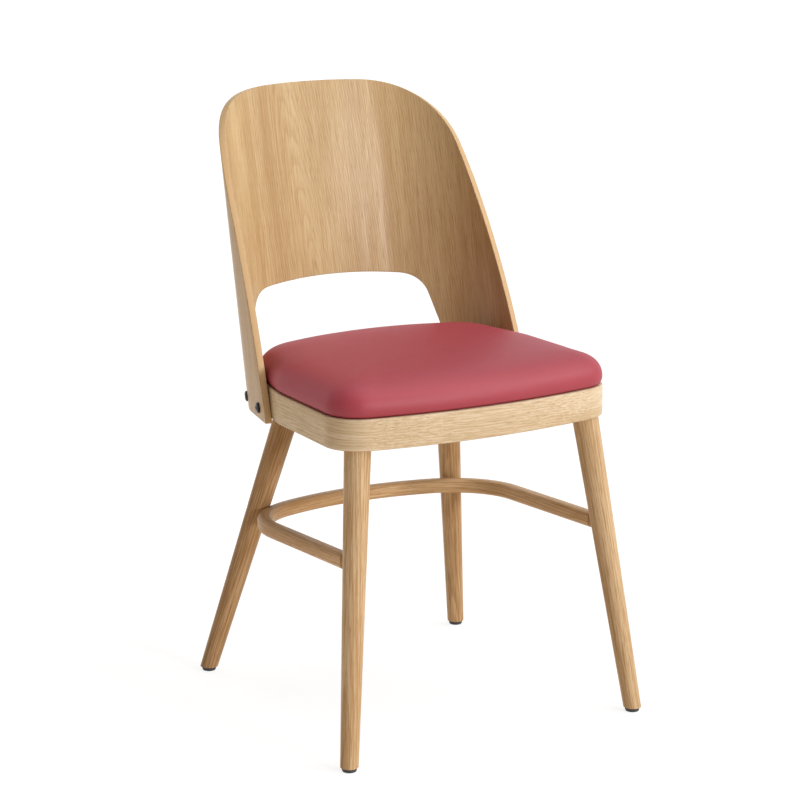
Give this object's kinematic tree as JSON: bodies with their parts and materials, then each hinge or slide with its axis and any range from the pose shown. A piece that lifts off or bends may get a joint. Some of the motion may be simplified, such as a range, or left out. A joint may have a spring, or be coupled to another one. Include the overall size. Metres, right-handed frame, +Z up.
{
  "type": "side chair",
  "caption": "Side chair with splayed round oak legs, a bent stretcher, a rounded seat frame, a wraparound plywood back with an arched opening, and a crowned red leatherette pad.",
  "frame": {"origin": "on the floor under the middle of the chair's bounding box", "axes": "+X to the right seen from the front, +Y towards the back, +Z up"},
  "size_m": [0.4493, 0.5059, 0.7936],
  "materials": {
    "oak": "satin clear lacquer",
    "oak_plywood": "oak veneer, satin clear lacquer",
    "birch_plywood": "raw plywood",
    "beech": "raw turned wood",
    "red_leatherette": "fine grain, soft sheen",
    "foam": "open-cell foam",
    "black_cloth": "matt non-woven cloth",
    "dark_steel": "dark plated",
    "zinc_steel": "zinc plated",
    "black_plastic": "matt black"
  },
  "bodies": {
    "root": {"front_rail": "oak", "rear_rail": "oak", "left_side_rail": "oak", "right_side_rail": "oak", "front_left_corner_block": "oak", "front_right_corner_block": "oak", "rear_left_corner_block": "oak", "rear_right_corner_block": "oak", "front_left_leg": "oak", "front_right_leg": "oak", "rear_left_leg": "oak", "rear_right_leg": "oak", "stretcher": "oak", "backrest_shell": "oak_plywood", "seat_board": "birch_plywood", "rail_dowels": "beech", "seat_cover": "red_leatherette", "seat_foam": "foam", "seat_bottom_cloth": "black_cloth", "backrest_bolts": "dark_steel", "backrest_inserts": "zinc_steel", "corner_block_screws": "zinc_steel", "seat_screws": "zinc_steel", "stretcher_screws": "zinc_steel", "glide_nails": "zinc_steel", "cover_staples": "zinc_steel", "front_left_glide": "black_plastic", "front_right_glide": "black_plastic", "rear_left_glide": "black_plastic", "rear_right_glide": "black_plastic"}
  },
  "joints": []
}
